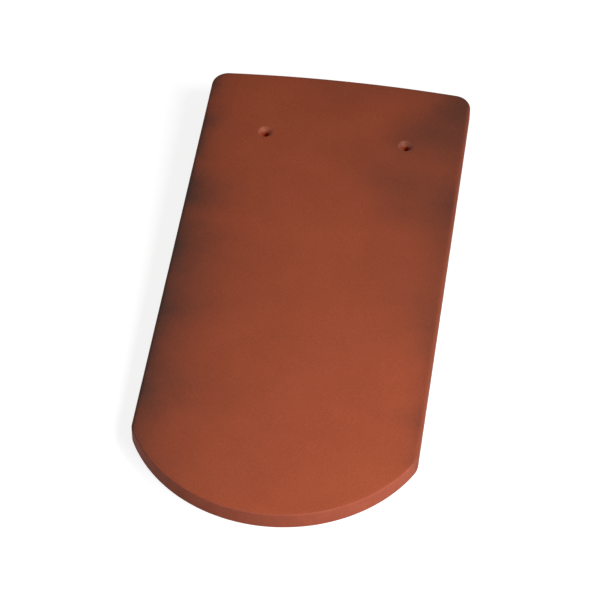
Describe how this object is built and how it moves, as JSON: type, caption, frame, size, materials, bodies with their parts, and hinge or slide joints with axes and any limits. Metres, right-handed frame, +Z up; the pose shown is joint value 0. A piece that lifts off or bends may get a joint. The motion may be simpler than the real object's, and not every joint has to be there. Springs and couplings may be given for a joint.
{
  "type": "clay roof tile",
  "caption": "Flat clay roof tile of the beaver-tail pattern, with a rounded lower end, countersunk nail holes and a hanging nib under its head.",
  "frame": {"origin": "on the floor under the middle of the tile's box, with the tile lying face up on its nib and the tip of its tail", "axes": "+Y along the tile from the rounded tail to the head, +Z up, +X across the tile to the right seen from the tail"},
  "size_m": [0.19, 0.4, 0.0319],
  "materials": {
    "fired_clay": "matt red clay, flashed darker at the edges by the kiln"
  },
  "bodies": {
    "root": {"roof_tile": "fired_clay"}
  },
  "joints": []
}
